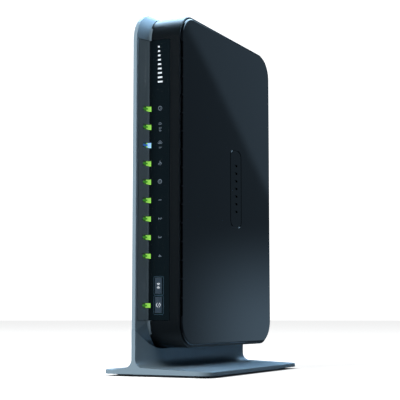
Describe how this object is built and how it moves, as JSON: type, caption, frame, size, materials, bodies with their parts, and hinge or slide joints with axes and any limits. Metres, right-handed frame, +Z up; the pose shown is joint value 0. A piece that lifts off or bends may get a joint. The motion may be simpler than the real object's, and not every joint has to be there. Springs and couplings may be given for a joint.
{
  "type": "cable modem",
  "caption": "Upright wireless cable modem on a blade stand: slim black case, silver side shell, indicator strip, press keys and rear sockets.",
  "frame": {"origin": "on the table, at the middle of the outline that the foot and the rear connector make", "axes": "+Z up, +Y from the indicator side to the connector side, +X from the silver shell towards the black cover"},
  "size_m": [0.0804, 0.1714, 0.2428],
  "materials": {
    "silver_paint": "satin silver-blue paint on moulded plastic",
    "satin_black": "semi-gloss black moulding",
    "gloss_black": "polished black moulding",
    "smoked_clear": "smoked glossy window",
    "button_grey": "dark blue-grey key cap",
    "rubber": "black rubber",
    "light_guide": "clear light guide, lit",
    "board_green": "solder-masked circuit board",
    "white_plastic": "white or natural moulding",
    "chip_black": "black moulded housing",
    "tinned_steel": "tin-plated sheet steel",
    "nickel": "nickel plate",
    "gold": "gold-plated spring contacts",
    "aluminium": "plain aluminium"
  },
  "bodies": {
    "chassis": {"board_screw_lower": "tinned_steel", "board_screw_middle": "tinned_steel", "board_screw_upper": "tinned_steel", "button_board": "board_green", "capacitor": "aluminium", "coax_barrel": "nickel", "coax_contact": "gold", "coax_insulator": "white_plastic", "coax_nut": "nickel", "cover_badge": "gloss_black", "dc_jack": "chip_black", "dc_pin": "nickel", "foot_pad_front_left": "rubber", "foot_pad_front_right": "rubber", "foot_pad_rear_left": "rubber", "foot_pad_rear_right": "rubber", "front_antenna": "board_green", "front_inlay": "smoked_clear", "heat_sink": "aluminium", "indicator_light_1": "white_plastic", "indicator_light_10": "white_plastic", "indicator_light_2": "white_plastic", "indicator_light_3": "white_plastic", "indicator_light_4": "white_plastic", "indicator_light_5": "white_plastic", "indicator_light_6": "white_plastic", "indicator_light_7": "white_plastic", "indicator_light_8": "white_plastic", "indicator_light_9": "white_plastic", "lan_contacts_1": "gold", "lan_contacts_2": "gold", "lan_contacts_3": "gold", "lan_contacts_4": "gold", "lan_jack_block": "chip_black", "left_shell": "silver_paint", "lower_light_guide": "light_guide", "main_board": "board_green", "mid_frame": "satin_black", "power_switch": "white_plastic", "processor": "chip_black", "radio_shield": "tinned_steel", "rear_antenna": "board_green", "rear_panel": "satin_black", "reset_switch": "chip_black", "side_cover": "gloss_black", "stand": "silver_paint", "stand_screw_front": "tinned_steel", "stand_screw_rear": "tinned_steel", "tuner_can": "tinned_steel", "upper_light_guide": "light_guide", "usb_shell": "tinned_steel", "usb_tongue": "white_plastic", "wifi_switch": "chip_black", "wps_switch": "chip_black"},
    "wifi_key": {"wifi_button": "button_grey", "wifi_plunger": "white_plastic"},
    "wps_key": {"wps_button": "button_grey", "wps_plunger": "white_plastic"},
    "power_key": {"power_button": "button_grey"},
    "reset_key": {"reset_button": "white_plastic"}
  },
  "joints": [
    {"name": "wifi_press", "type": "slide", "parent": "chassis", "child": "wifi_key", "axis": [0, 1, 0], "range_m": [0, 0.0006], "stiffness_N_per_m": 1500},
    {"name": "wps_press", "type": "slide", "parent": "chassis", "child": "wps_key", "axis": [0, 1, 0], "range_m": [0, 0.0006], "stiffness_N_per_m": 1500},
    {"name": "power_press", "type": "slide", "parent": "chassis", "child": "power_key", "axis": [0, -1, 0], "range_m": [0, 0.0015], "stiffness_N_per_m": 1200},
    {"name": "reset_press", "type": "slide", "parent": "chassis", "child": "reset_key", "axis": [0, -1, 0], "range_m": [0, 0.0005], "stiffness_N_per_m": 1500}
  ]
}
